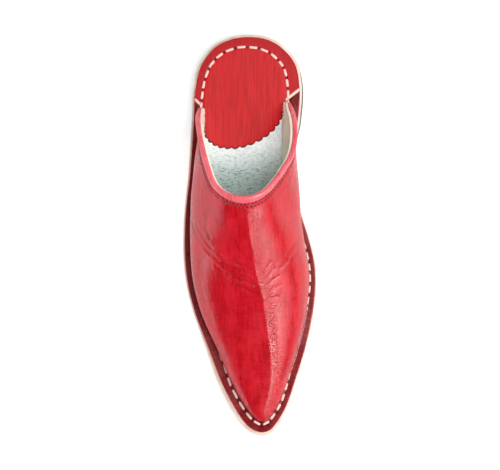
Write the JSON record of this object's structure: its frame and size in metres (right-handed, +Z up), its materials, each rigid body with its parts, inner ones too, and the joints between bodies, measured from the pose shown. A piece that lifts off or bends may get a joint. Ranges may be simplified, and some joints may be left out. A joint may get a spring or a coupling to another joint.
{
  "type": "babouche slipper",
  "caption": "Flat red leather slipper for the right foot: long pointed toe, open back, bound collar, and an upper turned outwards and stitched down to a thin sole with a low heel.",
  "frame": {"origin": "on the floor, under the middle of the shoe's length and width", "axes": "+Z up, -Y from heel to toe, +X towards the inner (medial) side of the right foot"},
  "size_m": [0.0916, 0.2748, 0.0669],
  "materials": {
    "sole_leather": "bare vegetable-tanned leather, matt",
    "heel_rubber": "dark, matt",
    "insole_suede": "grey-green, with a short mottled nap",
    "sock_leather": "red, low sheen",
    "upper_leather": "red with a rosy bloom, soft satin sheen, creased",
    "binding_leather": "lighter red, soft satin sheen",
    "lining_leather": "undyed, matt",
    "sole_thread": "waxed cream thread",
    "collar_thread": "dark red thread"
  },
  "bodies": {
    "root": {"outsole": "sole_leather", "heel_lift": "heel_rubber", "insole": "insole_suede", "heel_sock": "sock_leather", "upper": "upper_leather", "collar_binding": "binding_leather"}
  },
  "joints": []
}
